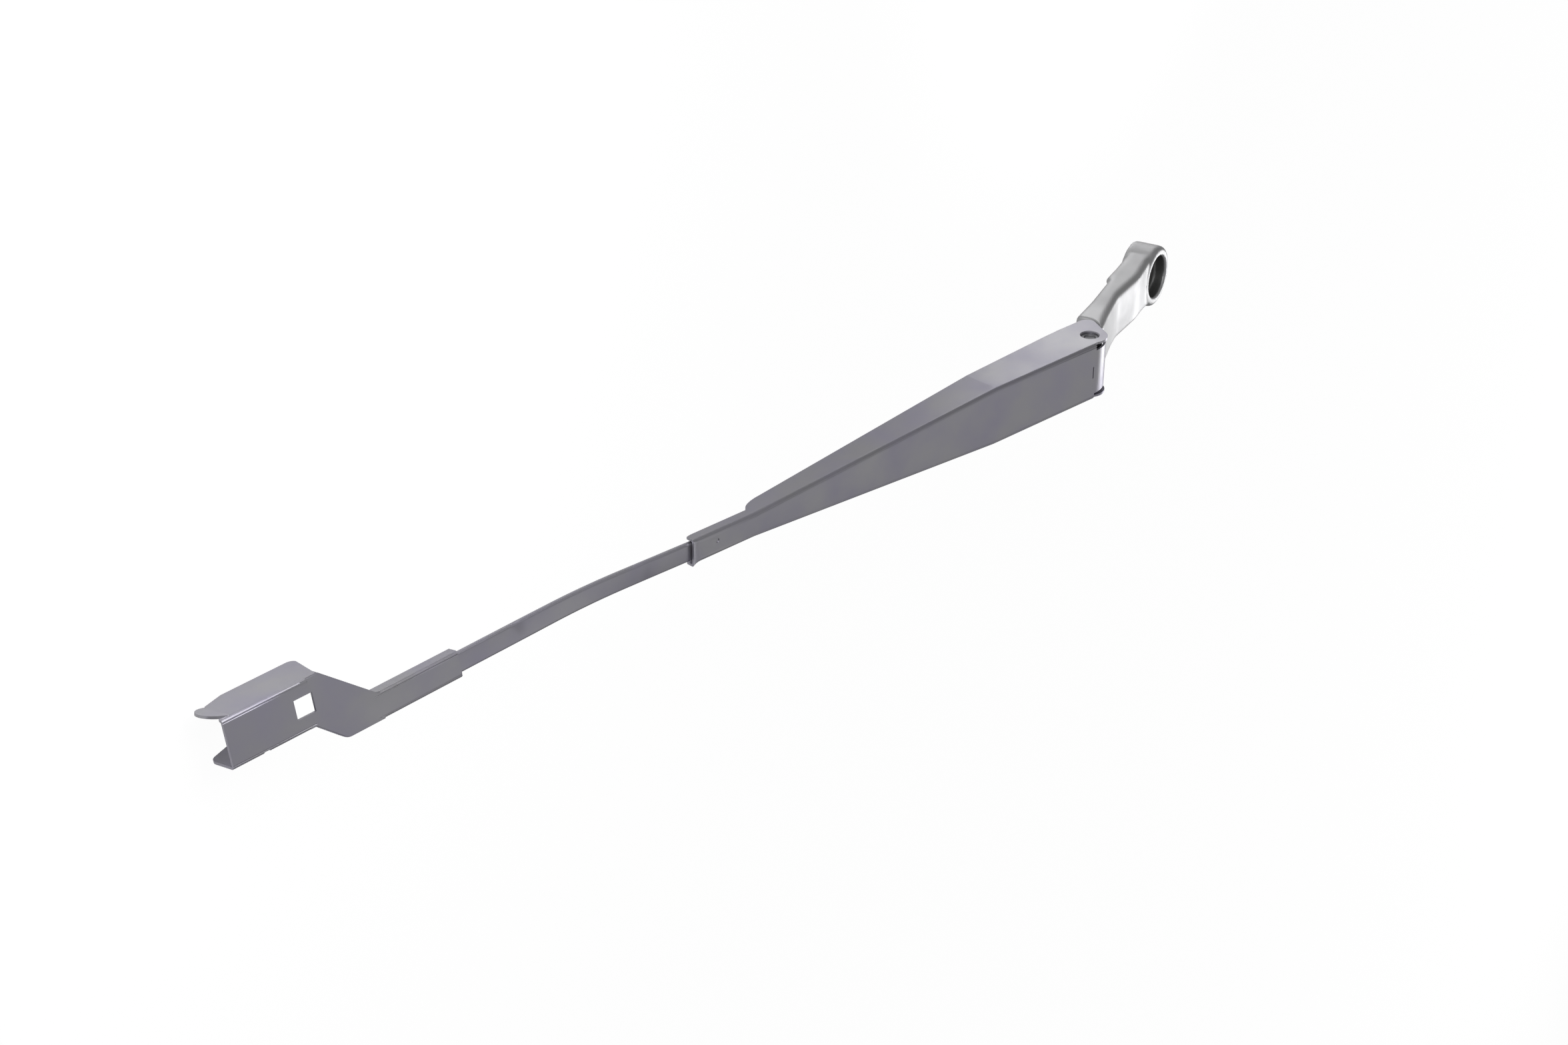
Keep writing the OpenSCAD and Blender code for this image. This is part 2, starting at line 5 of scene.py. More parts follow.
import bpy
from bpy.props import FloatProperty, FloatVectorProperty, IntProperty, PointerProperty
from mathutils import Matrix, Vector


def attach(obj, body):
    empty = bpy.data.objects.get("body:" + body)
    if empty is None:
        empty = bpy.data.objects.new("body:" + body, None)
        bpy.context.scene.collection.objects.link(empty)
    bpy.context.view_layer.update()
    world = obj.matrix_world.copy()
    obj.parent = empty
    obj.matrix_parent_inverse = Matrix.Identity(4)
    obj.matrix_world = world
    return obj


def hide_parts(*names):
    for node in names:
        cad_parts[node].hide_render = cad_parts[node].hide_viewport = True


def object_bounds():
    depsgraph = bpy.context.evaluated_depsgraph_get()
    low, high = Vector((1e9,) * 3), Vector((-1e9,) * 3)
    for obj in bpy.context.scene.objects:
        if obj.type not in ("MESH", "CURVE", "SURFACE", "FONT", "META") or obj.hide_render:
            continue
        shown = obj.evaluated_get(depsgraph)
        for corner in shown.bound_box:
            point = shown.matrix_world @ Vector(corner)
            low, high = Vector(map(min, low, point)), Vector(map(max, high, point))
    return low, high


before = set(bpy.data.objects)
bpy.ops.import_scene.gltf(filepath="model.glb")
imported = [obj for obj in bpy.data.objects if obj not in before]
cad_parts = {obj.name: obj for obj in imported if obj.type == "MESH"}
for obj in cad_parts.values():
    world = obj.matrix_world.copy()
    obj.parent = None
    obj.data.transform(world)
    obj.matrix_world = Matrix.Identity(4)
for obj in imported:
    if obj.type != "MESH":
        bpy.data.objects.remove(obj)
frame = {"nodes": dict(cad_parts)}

bl_info = {
    "name": "Wiper arm looks",
    "version": (1, 0, 0),
    "blender": (4, 5, 0),
    "location": "3D View > Sidebar > Wiper arm",
    "description": "Painted casting, pressed sheet, spring and studio for a wiper arm",
    "category": "Object",
}

CAD_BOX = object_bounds()

# Lengths in metres: radius of the nut recess, width of the paint's edge round it, the reach
# at which a mesh's loose corners are joined, and the heights of the fine bumps
RECESS_R = 0.0117
PAINT_EDGE = 0.0002
MERGE_REACH = 0.000002
PAINT_BUMP = 0.00006
STEEL_BUMP = 0.00005
PLASTIC_BUMP = 0.00004

# Angles in degrees: the most by which parts of one flat face differ, the most within one
# quad of the wire, and the sharpest edges that are shaded smooth
FLAT_ANGLE = 0.4
QUAD_ANGLE = 60
FOLD_SMOOTH = 24
BAR_SMOOTH = 50
ROUND_SMOOTH = 60

# Scales of the textures in patterns per metre, and factors on them along each axis
CLOUD_SCALE = 42.0
PATCH_SCALE = 160.0
FLOW_SCALE = 700.0
PIN_LINES = 900
WIRE_LINES = 1500
PIN_STRETCH = (1, 0.1, 1)
WIRE_STRETCH = (1, 1, 1)

# Factors that turn a finish's colour into its second tone
SHEET_TINT = (0.96, 0.94, 1.06)
CAST_TINT = 0.94
PIN_DULL = 0.55
WIRE_DULL = 0.5
FLOW_TINT = 2.2

# Strengths of the bumps, and the share of metal in the steel's shader
SHEET_GRAIN = 0.1
CAST_GRAIN = 0.16
STEEL_GRAIN = 0.2
PLASTIC_GRAIN = 0.1
STEEL_METAL = 0.85

# Floor: its side in metres, its grey, the strength of its white, and how much of its own
# shading stays where it is seen and where it is mirrored
FLOOR_SIDE = 30
FLOOR_GREY = (0.86, 0.86, 0.86, 1)
FLOOR_WHITE = 1.06
SEEN_SHADE = 0.1
MIRRORED_SHADE = 0.85

# Lights: the points that they face, their places and sides in metres, and their spreads in
# degrees. The pools face spots on the floor, and their shares are factors on one set power.
HEAD_MIDDLE = (0.06, 0.0, 0.02)
ARM_MIDDLE = (0.3, 0.0, -0.03)
KEY_PLACE = (-2.95, 1.39, 1.19)
KEY_SIDE = 1.2
TOP_PLACE = (-0.77, 0.9, 2.4)
TOP_SIDE = 1.4
FILL_PLACE = (1.5, -1.6, 1.2)
FILL_SIDE = 1.2
HEAD_POOL_PLACE = (-0.24, -0.22, 0.06)
HEAD_POOL_SPOT = (-0.24, -0.22)
HEAD_POOL_SIDE = 0.25
HEAD_POOL_SHARE = 0.65
TIP_POOL_PLACE = (0.62, -0.3, 0.08)
TIP_POOL_SPOT = (0.56, -0.03)
TIP_POOL_SIDE = 0.3
TIP_POOL_SHARE = 1.3
WIDE_SPREAD = 180
POOL_SPREAD = 110

# Camera of the photograph: place and clipping in metres, turn in degrees, lens and sensor in
# millimetres
CAMERA_PLACE = (1.276913, -0.586014, 0.504225)
CAMERA_TURN = (-28.744, -60.4408, -179.9627)
CAMERA_LENS = 61.224
CAMERA_SENSOR = 36.0
CAMERA_NEAR = 0.05
CAMERA_FAR = 60


class PaintSettings(bpy.types.PropertyGroup):
    """Colours and finish of the paint, and of the bare metal that it leaves open, darkened as
    painted shade in the bore
    """

    sheet_colour: FloatVectorProperty(
        name="Sheet colour",
        description="Colour of the paint on the channel, the bar and the end clip",
        subtype="COLOR",
        size=3,
        min=0,
        max=1,
        default=(0.405, 0.40, 0.425),
    )
    # The head has the same paint as the sheet; its lighter colour is painted light, for its
    # brightly lit faces
    cast_lit_colour: FloatVectorProperty(
        name="Casting colour",
        description="Colour of the paint on the mounting head",
        subtype="COLOR",
        size=3,
        min=0,
        max=1,
        default=(0.56, 0.56, 0.57),
    )
    # The bore's colour is bare metal, made darker as painted shade inside the bore and the nut
    # recess
    bore_bare_and_shade_colour: FloatVectorProperty(
        name="Bore colour",
        description="Colour of the bare metal in the bore and the nut recess",
        subtype="COLOR",
        size=3,
        min=0,
        max=1,
        default=(0.24, 0.24, 0.24),
    )
    sheet_roughness: FloatProperty(
        name="Sheet roughness",
        description="Roughness of the paint on the pressed sheet, from polished to matt",
        subtype="FACTOR",
        min=0.1,
        max=0.9,
        default=0.36,
    )
    cast_roughness: FloatProperty(
        name="Casting roughness",
        description="Roughness of the paint on the mounting head, from polished to matt",
        subtype="FACTOR",
        min=0.1,
        max=0.9,
        default=0.42,
    )
    metal_share: FloatProperty(
        name="Metal share",
        description="Share of metal flake in the paint, which sets how it mirrors the room",
        subtype="FACTOR",
        min=0,
        max=1,
        default=0.85,
    )
    grain_size: FloatProperty(
        name="Grain size",
        description="Size of the grain that the paint leaves",
        unit="LENGTH",
        min=0.0002,
        max=0.005,
        default=0.0012,
    )


class SteelSettings(bpy.types.PropertyGroup):
    """Colours of the bare steel and the bushes"""

    pin_colour: FloatVectorProperty(
        name="Pin colour",
        description="Colour of the hinge pin, the cross pin and the link",
        subtype="COLOR",
        size=3,
        min=0,
        max=1,
        default=(0.25, 0.25, 0.265),
    )
    spring_colour: FloatVectorProperty(
        name="Spring colour",
        description="Colour of the tension spring's wire",
        subtype="COLOR",
        size=3,
        min=0,
        max=1,
        default=(0.17, 0.18, 0.19),
    )
    bush_colour: FloatVectorProperty(
        name="Bush colour",
        description="Colour of the plastic bearing bushes",
        subtype="COLOR",
        size=3,
        min=0,
        max=1,
        default=(0.012, 0.012, 0.013),
    )


class ShapeSettings(bpy.types.PropertyGroup):
    """Sizes of the details that are added to the CAD model"""

    wire_growth: FloatProperty(
        name="Wire growth",
        description="Growth of the spring's wire that makes up for its rounding",
        unit="LENGTH",
        min=0,
        max=0.001,
        default=0.0002,
    )
    cast_voxel: FloatProperty(
        name="Casting grid",
        description="Grid size at which the casting is smoothed",
        unit="LENGTH",
        min=0.0004,
        max=0.002,
        default=0.0006,
    )
    cast_smoothing: IntProperty(
        name="Casting smoothing",
        description="Number of passes that round the edges of the casting",
        min=0,
        max=40,
        default=20,
    )


class StageSettings(bpy.types.PropertyGroup):
    """Floor and lights"""

    floor_drop: FloatProperty(
        name="Floor drop",
        description="Distance of the floor below the lowest point of the arm",
        unit="LENGTH",
        min=0,
        max=0.5,
        default=0.004,
    )
    room_level: FloatProperty(
        name="Room level",
        description="Brightness of the room round the stage",
        subtype="FACTOR",
        min=0,
        max=1,
        default=0.25,
    )
    key_power: FloatProperty(
        name="Key light",
        description="Power of the large light far behind the arm's head",
        unit="POWER",
        min=0,
        max=500,
        default=17,
    )
    top_power: FloatProperty(
        name="Top light",
        description="Power of the light high over the arm, behind its head",
        unit="POWER",
        min=0,
        max=200,
        default=2.3,
    )
    pool_power: FloatProperty(
        name="Floor pools",
        description="Power of the small lights over the floor beside the head and the clip",
        unit="POWER",
        min=0,
        max=20,
        default=0.8,
    )
    fill_power: FloatProperty(
        name="Fill light",
        description="Power of the weak light from the camera's side",
        unit="POWER",
        min=0,
        max=200,
        default=4,
    )


def socket_group(name, inputs, outputs):
    """A node group and its two ends, with sockets (name, kind, default) in, (name, kind) out."""
    group = bpy.data.node_groups.new(name, "ShaderNodeTree")
    for label, kind, value in inputs:
        made = group.interface.new_socket(label, in_out="INPUT", socket_type=kind)
        if value is not None:
            made.default_value = value
    for label, kind in outputs:
        group.interface.new_socket(label, in_out="OUTPUT", socket_type=kind)
    return group, group.nodes.new("NodeGroupInput"), group.nodes.new("NodeGroupOutput")


def set_sockets(node, **values):
    """Sets a node's input sockets by name, with underscores for spaces."""
    for key, value in values.items():
        node.inputs[key.replace("_", " ")].default_value = value


def paint_film_group():
    """Sprayed paint: soft clouds of tone and gloss, and the height of a fine orange-peel grain."""
    group, inside, outside = socket_group(
        "paint_film",
        [
            ("Vector", "NodeSocketVector", None),
            ("Colour", "NodeSocketColor", (0.5, 0.5, 0.5, 1)),
            ("Tint", "NodeSocketColor", (0.5, 0.5, 0.5, 1)),
            ("Grain Scale", "NodeSocketFloat", 800.0),
            ("Roughness", "NodeSocketFloat", 0.4),
        ],
        [
            ("Colour", "NodeSocketColor"),
            ("Roughness", "NodeSocketFloat"),
            ("Height", "NodeSocketFloat"),
        ],
    )
    nodes = group.nodes
    link = group.links.new
    clouds = nodes.new("ShaderNodeTexNoise")
    set_sockets(clouds, Scale=CLOUD_SCALE, Detail=4.0, Roughness=0.55)
    link(inside.outputs["Vector"], clouds.inputs["Vector"])
    spread = nodes.new("ShaderNodeMapRange")
    set_sockets(spread, From_Min=0.35, From_Max=0.68, To_Min=0.0, To_Max=1.0)
    link(clouds.outputs["Fac"], spread.inputs["Value"])
    blend = nodes.new("ShaderNodeMix")
    blend.data_type = "RGBA"
    link(spread.outputs["Result"], blend.inputs["Factor"])
    link(inside.outputs["Colour"], blend.inputs["A"])
    link(inside.outputs["Tint"], blend.inputs["B"])
    grain = nodes.new("ShaderNodeTexNoise")
    set_sockets(grain, Detail=2.0, Roughness=0.5)
    link(inside.outputs["Vector"], grain.inputs["Vector"])
    link(inside.outputs["Grain Scale"], grain.inputs["Scale"])
    uneven = nodes.new("ShaderNodeMapRange")
    set_sockets(uneven, From_Min=0.3, From_Max=0.7, To_Min=-0.05, To_Max=0.05)
    link(clouds.outputs["Fac"], uneven.inputs["Value"])
    rough = nodes.new("ShaderNodeMath")
    rough.operation = "ADD"
    link(inside.outputs["Roughness"], rough.inputs[0])
    link(uneven.outputs["Result"], rough.inputs[1])
    link(blend.outputs["Result"], outside.inputs["Colour"])
    link(rough.outputs[0], outside.inputs["Roughness"])
    link(grain.outputs["Fac"], outside.inputs["Height"])
    return group


def drawn_steel_group():
    """Drawn or ground steel: dull patches in tone and gloss, and the height of its fine lines."""
    group, inside, outside = socket_group(
        "drawn_steel",
        [
            ("Vector", "NodeSocketVector", None),
            ("Colour", "NodeSocketColor", (0.3, 0.3, 0.3, 1)),
            ("Dull Colour", "NodeSocketColor", (0.1, 0.1, 0.1, 1)),
            ("Line Scale", "NodeSocketFloat", 900.0),
        ],
        [
            ("Colour", "NodeSocketColor"),
            ("Roughness", "NodeSocketFloat"),
            ("Height", "NodeSocketFloat"),
        ],
    )
    nodes = group.nodes
    link = group.links.new
    lines = nodes.new("ShaderNodeTexNoise")
    set_sockets(lines, Detail=3.0, Roughness=0.6)
    link(inside.outputs["Vector"], lines.inputs["Vector"])
    link(inside.outputs["Line Scale"], lines.inputs["Scale"])
    patches = nodes.new("ShaderNodeTexNoise")
    set_sockets(patches, Scale=PATCH_SCALE, Detail=3.0, Roughness=0.6)
    link(inside.outputs["Vector"], patches.inputs["Vector"])
    blend = nodes.new("ShaderNodeMix")
    blend.data_type = "RGBA"
    link(patches.outputs["Fac"], blend.inputs["Factor"])
    link(inside.outputs["Colour"], blend.inputs["A"])
    link(inside.outputs["Dull Colour"], blend.inputs["B"])
    rough = nodes.new("ShaderNodeMapRange")
    set_sockets(rough, From_Min=0.3, From_Max=0.7, To_Min=0.28, To_Max=0.5)
    link(patches.outputs["Fac"], rough.inputs["Value"])
    link(blend.outputs["Result"], outside.inputs["Colour"])
    link(rough.outputs["Result"], outside.inputs["Roughness"])
    link(lines.outputs["Fac"], outside.inputs["Height"])
    return group


def shared_group(name, build):
    """A node group that several materials use, built at its first use."""
    return bpy.data.node_groups.get(name) or build()


def new_material(name):
    """A material with the Principled shader, and a Mapping node that reads Object coordinates."""
    material = bpy.data.materials.new(name)
    material.use_nodes = True
    nodes = material.node_tree.nodes
    link = material.node_tree.links.new
    place = nodes.new("ShaderNodeTexCoord")
    mapping = nodes.new("ShaderNodeMapping")
    link(place.outputs["Object"], mapping.inputs["Vector"])
    return material, nodes, link, nodes["Principled BSDF"], mapping


def bump_from(nodes, link, height, shader, strength, distance):
    """A Bump node between a height and the shader's normal."""
    bump = nodes.new("ShaderNodeBump")
    set_sockets(bump, Strength=strength, Distance=distance)
    link(height, bump.inputs["Height"])
    link(bump.outputs["Normal"], shader.inputs["Normal"])


def paint_material(name, colour, tint, roughness, grain):
    """Satin paint with metal flake."""
    paint = bpy.context.scene.wiper_paint
    material, nodes, link, shader, mapping = new_material(name)
    coat = nodes.new("ShaderNodeGroup")
    coat.node_tree = shared_group("paint_film", paint_film_group)
    set_sockets(coat, Colour=(*colour, 1), Tint=(*tint, 1))
    set_sockets(coat, Grain_Scale=1 / paint.grain_size, Roughness=roughness)
    link(mapping.outputs["Vector"], coat.inputs["Vector"])
    link(coat.outputs["Colour"], shader.inputs["Base Color"])
    link(coat.outputs["Roughness"], shader.inputs["Roughness"])
    bump_from(nodes, link, coat.outputs["Height"], shader, grain, PAINT_BUMP)
    set_sockets(shader, Metallic=paint.metal_share, IOR=1.5)
    return material


def steel_material(name, colour, dull, stretch, line_scale):
    """Drawn or ground steel, with its fine lines along an axis whose stretch is below 1."""
    material, nodes, link, shader, mapping = new_material(name)
    set_sockets(mapping, Scale=stretch)
    steel = nodes.new("ShaderNodeGroup")
    steel.node_tree = shared_group("drawn_steel", drawn_steel_group)
    set_sockets(steel, Colour=(*colour, 1), Dull_Colour=(*dull, 1), Line_Scale=line_scale)
    link(mapping.outputs["Vector"], steel.inputs["Vector"])
    link(steel.outputs["Colour"], shader.inputs["Base Color"])
    link(steel.outputs["Roughness"], shader.inputs["Roughness"])
    bump_from(nodes, link, steel.outputs["Height"], shader, STEEL_GRAIN, STEEL_BUMP)
    set_sockets(shader, Metallic=STEEL_METAL)
    return material


def plastic_material(name, colour):
    """Moulded bearing plastic with a faint flow pattern."""
    material, nodes, link, shader, mapping = new_material(name)
    flow = nodes.new("ShaderNodeTexNoise")
    set_sockets(flow, Scale=FLOW_SCALE, Detail=2.0)
    link(mapping.outputs["Vector"], flow.inputs["Vector"])
    ramp = nodes.new("ShaderNodeValToRGB")
    ramp.color_ramp.elements[0].color = (*colour, 1)
    ramp.color_ramp.elements[1].color = (*[min(1, FLOW_TINT * c) for c in colour], 1)
    link(flow.outputs["Fac"], ramp.inputs["Fac"])
    link(ramp.outputs["Color"], shader.inputs["Base Color"])
    bump_from(nodes, link, flow.outputs["Fac"], shader, PLASTIC_GRAIN, PLASTIC_BUMP)
    set_sockets(shader, Roughness=0.45)
    return material


def sheet_paint():
    """The paint of the channel, the bar and the end clip, made at its first use."""
    found = bpy.data.materials.get("satin_sheet")
    if found:
        return found
    paint = bpy.context.scene.wiper_paint
    colour = tuple(paint.sheet_colour)
    tint = tuple(c * factor for c, factor in zip(colour, SHEET_TINT))
    return paint_material("satin_sheet", colour, tint, paint.sheet_roughness, SHEET_GRAIN)


def dress(obj, material):
    """Gives an object one material."""
    obj.data.materials.clear()
    obj.data.materials.append(material)


def only(obj):
    """Selects one object and makes it active."""
    bpy.ops.object.select_all(action="DESELECT")
    obj.select_set(True)
    bpy.context.view_layer.objects.active = obj


def edit_all(obj):
    """Opens an object in edit mode with its whole mesh selected."""
    only(obj)
    bpy.ops.object.mode_set(mode="EDIT")
    bpy.ops.mesh.select_all(action="SELECT")


def copy_of_node(node, name):
    """A new object with a copy of a CAD node's triangles, joined at their corners."""
    source = frame["nodes"][node]
    obj = bpy.data.objects.new(name, source.data.copy())
    bpy.context.scene.collection.objects.link(obj)
    edit_all(obj)
    bpy.ops.mesh.remove_doubles(threshold=MERGE_REACH)
    bpy.ops.object.mode_set(mode="OBJECT")
    return obj


def apply_modifier(obj, kind, name, **settings):
    """Adds a modifier to an object, sets it and applies it."""
    only(obj)
    modifier = obj.modifiers.new(name, kind)
    for key, value in settings.items():
        setattr(modifier, key, value)
    bpy.ops.object.modifier_apply(modifier=name)


def smooth(obj, degrees):
    """Shades edges smooth up to an angle in degrees, with normals that follow the large faces."""
    only(obj)
    bpy.ops.object.shade_smooth_by_angle(angle=math.radians(degrees))
    apply_modifier(obj, "WEIGHTED_NORMAL", "flatten", mode="FACE_AREA", weight=100, keep_sharp=True)


def finish_piece(obj, body, node, material):
    """Sets a piece in place of its CAD node, on the body that carries it, and paints it."""
    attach(obj, body)
    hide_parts(node)
    dress(obj, material)


class WIPER_OT_casting(bpy.types.Operator):
    """Make the mounting head, with the soft edges of a painted casting"""

    bl_idname = "wiper.casting"
    bl_label = "Mounting head"

    def bare_and_shaded_bore(self, material, colour):
        """Colours the bore and the nut recess dark, as bare metal and as painted shade of the deep
        recess: all that is near the spindle axis.
        """
        nodes = material.node_tree.nodes
        link = material.node_tree.links.new
        shader = nodes["Principled BSDF"]
        place = nodes["Mapping"].outputs["Vector"]
        flat = nodes.new("ShaderNodeVectorMath")
        flat.operation = "MULTIPLY"
        flat.inputs[1].default_value = (1, 1, 0)
        link(place, flat.inputs[0])
        reach = nodes.new("ShaderNodeVectorMath")
        reach.operation = "LENGTH"
        link(flat.outputs["Vector"], reach.inputs[0])
        inside = nodes.new("ShaderNodeMapRange")
        edge = RECESS_R + PAINT_EDGE
        set_sockets(inside, From_Min=RECESS_R, From_Max=edge, To_Min=1.0, To_Max=0.0)
        link(reach.outputs["Value"], inside.inputs["Value"])
        blend = nodes.new("ShaderNodeMix")
        blend.data_type = "RGBA"
        blend.inputs["B"].default_value = (*colour, 1)
        link(inside.outputs["Result"], blend.inputs["Factor"])
        link(shader.inputs["Base Color"].links[0].from_socket, blend.inputs["A"])
        link(blend.outputs["Result"], shader.inputs["Base Color"])

    def execute(self, context):
        shape = context.scene.wiper_shape
        paint = context.scene.wiper_paint
        head = copy_of_node("mounting_head", "head_casting")
        apply_modifier(head, "REMESH", "grid", mode="VOXEL", voxel_size=shape.cast_voxel)
        apply_modifier(head, "SMOOTH", "soften", factor=0.5, iterations=shape.cast_smoothing)
        smooth(head, ROUND_SMOOTH)
        # The head's lighter colour is painted light on the same paint as the sheet
        colour = tuple(paint.cast_lit_colour)
        tint = tuple(CAST_TINT * c for c in colour)
        material = paint_material("satin_cast", colour, tint, paint.cast_roughness, CAST_GRAIN)
        # Paints the bore dark: bare metal, and painted shade of the recess
        self.bare_and_shaded_bore(material, tuple(paint.bore_bare_and_shade_colour))
        finish_piece(head, "head", "mounting_head", material)
        return {"FINISHED"}


class WIPER_OT_sheet(bpy.types.Operator):
    """Make the pressed sheet pieces and the flat bar, with clean faces and smooth folds"""

    bl_idname = "wiper.sheet"
    bl_label = "Channel, bar and clip"

    def execute(self, context):
        for node, name, angle in (
            ("retainer_channel", "channel_sheet", FOLD_SMOOTH),
            ("flat_bar", "bar_steel", BAR_SMOOTH),
            ("end_clip", "clip_sheet", FOLD_SMOOTH),
        ):
            piece = copy_of_node(node, name)
            edit_all(piece)
            bpy.ops.mesh.dissolve_limited(angle_limit=math.radians(FLAT_ANGLE))
            bpy.ops.object.mode_set(mode="OBJECT")
            smooth(piece, angle)
            finish_piece(piece, "arm", node, sheet_paint())
        return {"FINISHED"}


class WIPER_OT_spring(bpy.types.Operator):
    """Make the tension spring with round wire"""

    bl_idname = "wiper.spring"
    bl_label = "Tension spring"

    def execute(self, context):
        coil = tuple(context.scene.wiper_steel.spring_colour)
        turn = math.radians(QUAD_ANGLE)
        spring = copy_of_node("tension_spring", "spring_wire")
        edit_all(spring)
        bpy.ops.mesh.tris_convert_to_quads(face_threshold=turn, shape_threshold=turn)
        bpy.ops.transform.shrink_fatten(value=context.scene.wiper_shape.wire_growth)
        bpy.ops.object.mode_set(mode="OBJECT")
        apply_modifier(spring, "SUBSURF", "round", levels=1)
        smooth(spring, ROUND_SMOOTH)
        dull = tuple(WIRE_DULL * c for c in coil)
        material = steel_material("coil_steel", coil, dull, WIRE_STRETCH, WIRE_LINES)
        finish_piece(spring, "arm", "tension_spring", material)
        return {"FINISHED"}


class WIPER_OT_steel(bpy.types.Operator):
    """Finish the pins, the link and the bushes"""

    bl_idname = "wiper.steel"
    bl_label = "Pins, link and bushes"

    def execute(self, context):
        colours = context.scene.wiper_steel
        pin = tuple(colours.pin_colour)
        dull = tuple(PIN_DULL * c for c in pin)
        pin_steel = steel_material("ground_steel", pin, dull, PIN_STRETCH, PIN_LINES)
        bush = plastic_material("bush_plastic", tuple(colours.bush_colour))
        nodes = frame["nodes"]
        for name in ("hinge_pin", "spring_pin", "spring_link"):
            dress(nodes[name], pin_steel)
        for name in ("hinge_bush_left", "hinge_bush_right"):
            dress(nodes[name], bush)
        return {"FINISHED"}


def white_when_seen(tree, surface, output, kept, kept_in_gloss):
    """Shows a surface as white to camera, glossy and transmission rays, but for the shares kept."""
    nodes = tree.nodes
    link = tree.links.new
    path = nodes.new("ShaderNodeLightPath")
    glow = nodes.new("ShaderNodeEmission")
    set_sockets(glow, Color=(1, 1, 1, 1), Strength=FLOOR_WHITE)
    value = None
    for kind, share in (
        ("Is Camera Ray", 1 - kept),
        ("Is Glossy Ray", 1 - kept_in_gloss),
        ("Is Transmission Ray", 1 - kept),
    ):
        seen = nodes.new("ShaderNodeMath")
        seen.operation = "MULTIPLY"
        seen.inputs[1].default_value = share
        link(path.outputs[kind], seen.inputs[0])
        if value:
            most = nodes.new("ShaderNodeMath")
            most.operation = "MAXIMUM"
            link(value, most.inputs[0])
            link(seen.outputs[0], most.inputs[1])
            seen = most
        value = seen.outputs[0]
    blend = nodes.new("ShaderNodeMixShader")
    link(value, blend.inputs["Fac"])
    link(surface, blend.inputs[1])
    link(glow.outputs["Emission"], blend.inputs[2])
    link(blend.outputs["Shader"], output)


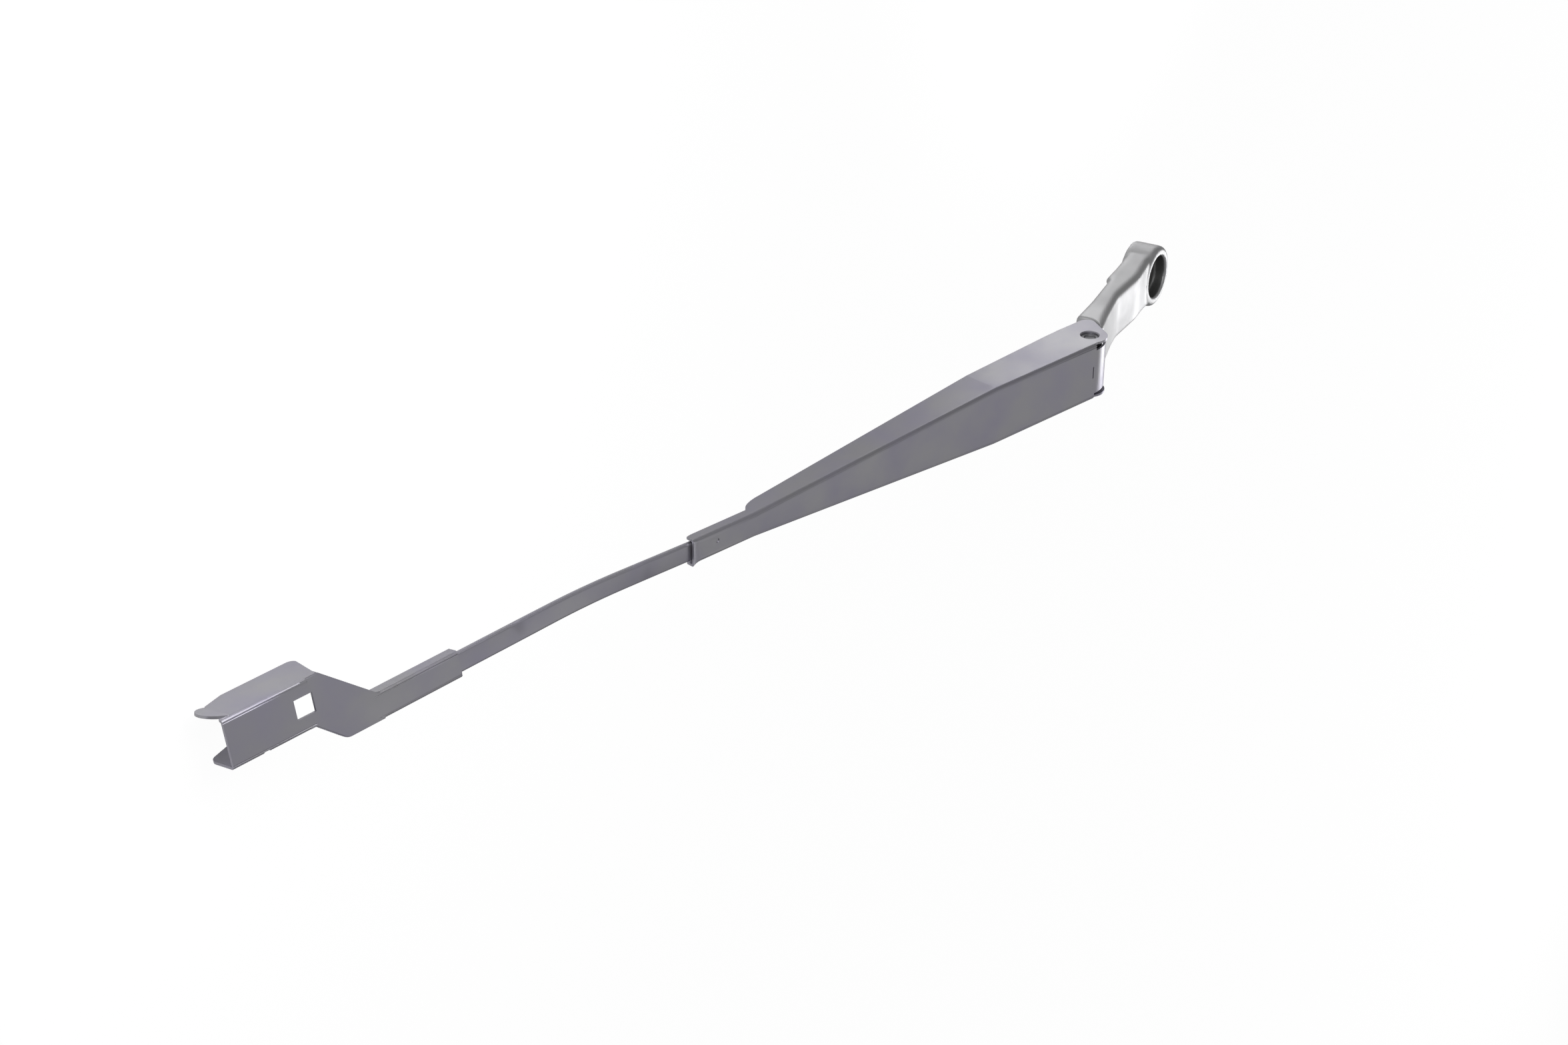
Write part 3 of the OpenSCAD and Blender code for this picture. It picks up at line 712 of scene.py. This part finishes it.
class WIPER_OT_stage(bpy.types.Operator):
    """Make the floor, the room's light, the lamps and the camera"""

    bl_idname = "wiper.stage"
    bl_label = "Stage"

    def lay_floor(self, low):
        """The floor, white where it is seen, with the arm's soft shadow."""
        bpy.ops.object.select_all(action="DESELECT")
        bpy.ops.mesh.primitive_plane_add(size=FLOOR_SIDE, location=(0, 0, low))
        floor = bpy.context.object
        floor.name = "floor"
        bpy.ops.object.transform_apply(location=True, rotation=True, scale=True)
        cover = bpy.data.materials.new("pale_floor")
        cover.use_nodes = True
        tree = cover.node_tree
        shader = tree.nodes["Principled BSDF"]
        surface = tree.nodes["Material Output"].inputs["Surface"]
        set_sockets(shader, Base_Color=FLOOR_GREY, Roughness=0.9)
        white_when_seen(tree, shader.outputs["BSDF"], surface, SEEN_SHADE, MIRRORED_SHADE)
        dress(floor, cover)

    def fill_room(self, level):
        """The even light of the room round the stage."""
        world = bpy.data.worlds.new("studio")
        bpy.context.scene.world = world
        world.use_nodes = True
        set_sockets(world.node_tree.nodes["Background"], Color=(1, 1, 1, 1), Strength=level)

    def area_light(self, name, place, target, side, power, spread=WIDE_SPREAD):
        """A square light at a place, turned to a target, that the camera doesn't see."""
        data = bpy.data.lights.new(name, "AREA")
        data.shape = "SQUARE"
        data.size = side
        data.energy = power
        data.spread = math.radians(spread)
        lamp = bpy.data.objects.new(name, data)
        bpy.context.scene.collection.objects.link(lamp)
        lamp.location = place
        lamp.visible_camera = False
        lamp.rotation_euler = (Vector(target) - Vector(place)).to_track_quat("-Z", "Y").to_euler()

    def hang_lights(self, stage, low):
        """The studio's three large lights, and the two small ones over the floor."""
        self.area_light("key_light", KEY_PLACE, HEAD_MIDDLE, KEY_SIDE, stage.key_power)
        self.area_light("top_light", TOP_PLACE, ARM_MIDDLE, TOP_SIDE, stage.top_power)
        self.area_light("fill_light", FILL_PLACE, ARM_MIDDLE, FILL_SIDE, stage.fill_power)
        spot = (*HEAD_POOL_SPOT, low)
        power = HEAD_POOL_SHARE * stage.pool_power
        self.area_light("head_pool", HEAD_POOL_PLACE, spot, HEAD_POOL_SIDE, power, POOL_SPREAD)
        spot = (*TIP_POOL_SPOT, low)
        power = TIP_POOL_SHARE * stage.pool_power
        self.area_light("tip_pool", TIP_POOL_PLACE, spot, TIP_POOL_SIDE, power)

    def place_camera(self, scene):
        """The camera at the photograph's viewing angle."""
        data = bpy.data.cameras.new("photo_camera")
        data.lens = CAMERA_LENS
        data.sensor_width = CAMERA_SENSOR
        data.clip_start = CAMERA_NEAR
        data.clip_end = CAMERA_FAR
        camera = bpy.data.objects.new("photo_camera", data)
        scene.collection.objects.link(camera)
        camera.location = CAMERA_PLACE
        camera.rotation_euler = [math.radians(angle) for angle in CAMERA_TURN]
        scene.camera = camera

    def execute(self, context):
        stage = context.scene.wiper_stage
        low = CAD_BOX[0].z - stage.floor_drop
        self.lay_floor(low)
        self.fill_room(stage.room_level)
        self.hang_lights(stage, low)
        self.place_camera(context.scene)
        context.scene.view_settings.view_transform = "Standard"
        return {"FINISHED"}


class WIPER_PT_panel(bpy.types.Panel):
    """The wiper arm's pieces and settings"""

    bl_idname = "WIPER_PT_panel"
    bl_label = "Wiper arm"
    bl_space_type = "VIEW_3D"
    bl_region_type = "UI"
    bl_category = "Wiper arm"

    def draw(self, context):
        for settings in SETTINGS:
            group = getattr(context.scene, settings)
            box = self.layout.box()
            for key in group.bl_rna.properties.keys():
                if key not in ("rna_type", "name"):
                    box.prop(group, key)
        for made in OPERATORS:
            self.layout.operator(made.bl_idname)


OPERATORS = (WIPER_OT_casting, WIPER_OT_sheet, WIPER_OT_spring, WIPER_OT_steel, WIPER_OT_stage)
SETTINGS = {
    "wiper_paint": PaintSettings,
    "wiper_steel": SteelSettings,
    "wiper_shape": ShapeSettings,
    "wiper_stage": StageSettings,
}
CLASSES = (*SETTINGS.values(), *OPERATORS, WIPER_PT_panel)


def register():
    for made in CLASSES:
        bpy.utils.register_class(made)
    for name, made in SETTINGS.items():
        setattr(bpy.types.Scene, name, PointerProperty(type=made))


def unregister():
    for name in SETTINGS:
        delattr(bpy.types.Scene, name)
    for made in reversed(CLASSES):
        bpy.utils.unregister_class(made)


def main():
    register()
    bpy.ops.wiper.casting()
    bpy.ops.wiper.sheet()
    bpy.ops.wiper.spring()
    bpy.ops.wiper.steel()
    bpy.ops.wiper.stage()


if __name__ == "__main__":
    main()
